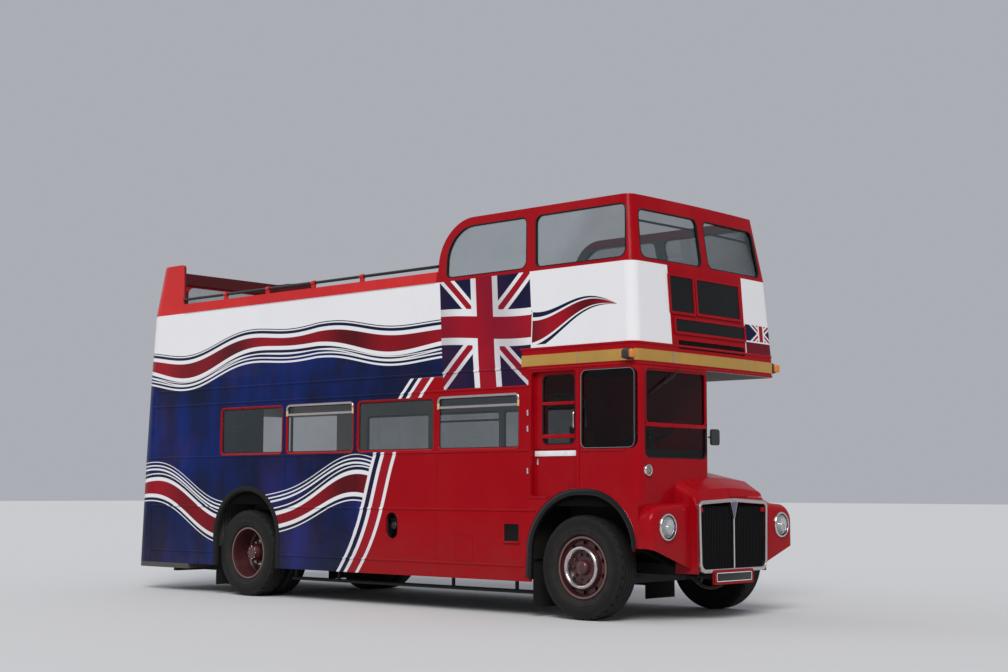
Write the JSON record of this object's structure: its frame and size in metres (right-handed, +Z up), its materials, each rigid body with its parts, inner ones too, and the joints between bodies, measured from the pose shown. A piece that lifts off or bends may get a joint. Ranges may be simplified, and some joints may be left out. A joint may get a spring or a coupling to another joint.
{
  "type": "open top half-cab double-decker bus",
  "caption": "Open top double-decker bus with a half cab, a central radiator beside a lifting bonnet, two glazed front bays upstairs and an open rear entrance platform.",
  "frame": {"origin": "on the road under the middle of the bus", "axes": "+X forward along the bus, +Y to the pavement side (left), +Z up"},
  "size_m": [8.382, 2.592, 4.13],
  "materials": {
    "red_paint": "gloss, slightly weathered",
    "side_paint": "gloss white, navy and red stripes",
    "grey_frame": "matt underframe paint",
    "floor": "slatted and worn",
    "glass": "clear",
    "black_glass": "blank sign faces",
    "silver": "polished",
    "mesh": "black",
    "lamp": "polished rim and clear lens",
    "amber": "translucent",
    "plate": "bare plate",
    "moquette": "woven wool pile",
    "seat_tube": "satin",
    "black_plastic": "moulded",
    "rail": "coated tube",
    "tyre": "worn",
    "maroon": "gloss, dusty",
    "iron": "oily",
    "rubber": "sheet"
  },
  "bodies": {
    "coachwork": {"cab_floor": "grey_frame", "cab_shell": "red_paint", "dashboard": "black_plastic", "driveline": "iron", "driver_seat": "moquette", "exhaust": "iron", "front_bulkhead": "red_paint", "front_suspension": "iron", "fuel_tank": "grey_frame", "handrails": "rail", "headlamps": "lamp", "lower_floor": "floor", "lower_glass": "glass", "lower_seat_pads": "moquette", "lower_side_nearside": "side_paint", "lower_side_offside": "side_paint", "mirrors": "black_plastic", "mud_flaps": "rubber", "nose_cowl": "red_paint", "plate_holders": "plate", "power_unit": "iron", "radiator_grille": "mesh", "radiator_surround": "silver", "rear_axle": "iron", "rear_lower": "side_paint", "rear_platform": "floor", "rear_upper": "side_paint", "seat_frames": "seat_tube", "side_guards": "grey_frame", "sign_boxes": "red_paint", "sign_glass": "black_glass", "small_lamps": "amber", "staircase": "grey_frame", "underframe": "grey_frame", "upper_floor": "floor", "upper_front": "side_paint", "upper_glass": "glass", "upper_seat_pads": "moquette", "upper_side_nearside": "side_paint", "upper_side_offside": "side_paint", "wing_nearside": "red_paint", "wing_offside": "red_paint"},
    "bonnet_lid": {"bonnet_lid": "red_paint"},
    "cab_door": {"cab_door": "red_paint", "cab_door_glass": "glass"},
    "steering_wheel": {"steering_wheel": "black_plastic"},
    "knuckle_offside": {"knuckle_offside": "iron"},
    "knuckle_nearside": {"knuckle_nearside": "iron"},
    "front_wheel_offside": {"front_rim_offside": "maroon", "front_tyre_offside": "tyre"},
    "front_wheel_nearside": {"front_rim_nearside": "maroon", "front_tyre_nearside": "tyre"},
    "rear_wheels_offside": {"rear_rim_offside": "maroon", "rear_tyres_offside": "tyre"},
    "rear_wheels_nearside": {"rear_rim_nearside": "maroon", "rear_tyres_nearside": "tyre"}
  },
  "joints": [
    {"name": "steer_offside", "type": "hinge", "parent": "coachwork", "child": "knuckle_offside", "pos_m": [3.202, -0.905, 0.505], "axis": [0, 0, 1], "range_deg": [-36, 36]},
    {"name": "steer_nearside", "type": "hinge", "parent": "coachwork", "child": "knuckle_nearside", "pos_m": [3.202, 0.905, 0.505], "axis": [0, 0, 1], "range_deg": [-36, 36]},
    {"name": "steering_wheel_turn", "type": "hinge", "parent": "coachwork", "child": "steering_wheel", "pos_m": [3.587, -0.6, 1.79], "axis": [-0.309, 0, 0.9511], "range_deg": [-792, 792]},
    {"name": "front_spin_offside", "type": "hinge", "parent": "knuckle_offside", "child": "front_wheel_offside", "pos_m": [3.202, -1.0705, 0.505], "axis": [0, 1, 0], "continuous": true},
    {"name": "front_spin_nearside", "type": "hinge", "parent": "knuckle_nearside", "child": "front_wheel_nearside", "pos_m": [3.202, 1.0705, 0.505], "axis": [0, 1, 0], "continuous": true},
    {"name": "rear_spin_offside", "type": "hinge", "parent": "coachwork", "child": "rear_wheels_offside", "pos_m": [-1.929, -0.925, 0.505], "axis": [0, 1, 0], "continuous": true},
    {"name": "rear_spin_nearside", "type": "hinge", "parent": "coachwork", "child": "rear_wheels_nearside", "pos_m": [-1.929, 0.925, 0.505], "axis": [0, 1, 0], "continuous": true},
    {"name": "cab_door_slide", "type": "slide", "parent": "coachwork", "child": "cab_door", "axis": [-1, 0, 0], "range_m": [0, 0.52]},
    {"name": "bonnet_lift", "type": "hinge", "parent": "coachwork", "child": "bonnet_lid", "pos_m": [3.357, -0.03, 1.49], "axis": [0.9956, 0, -0.0935], "range_deg": [0, 60]}
  ],
  "couplings": [
    {"joint": "steer_nearside", "follows": "steer_offside", "ratio": 1},
    {"joint": "steering_wheel_turn", "follows": "steer_offside", "ratio": 22}
  ]
}
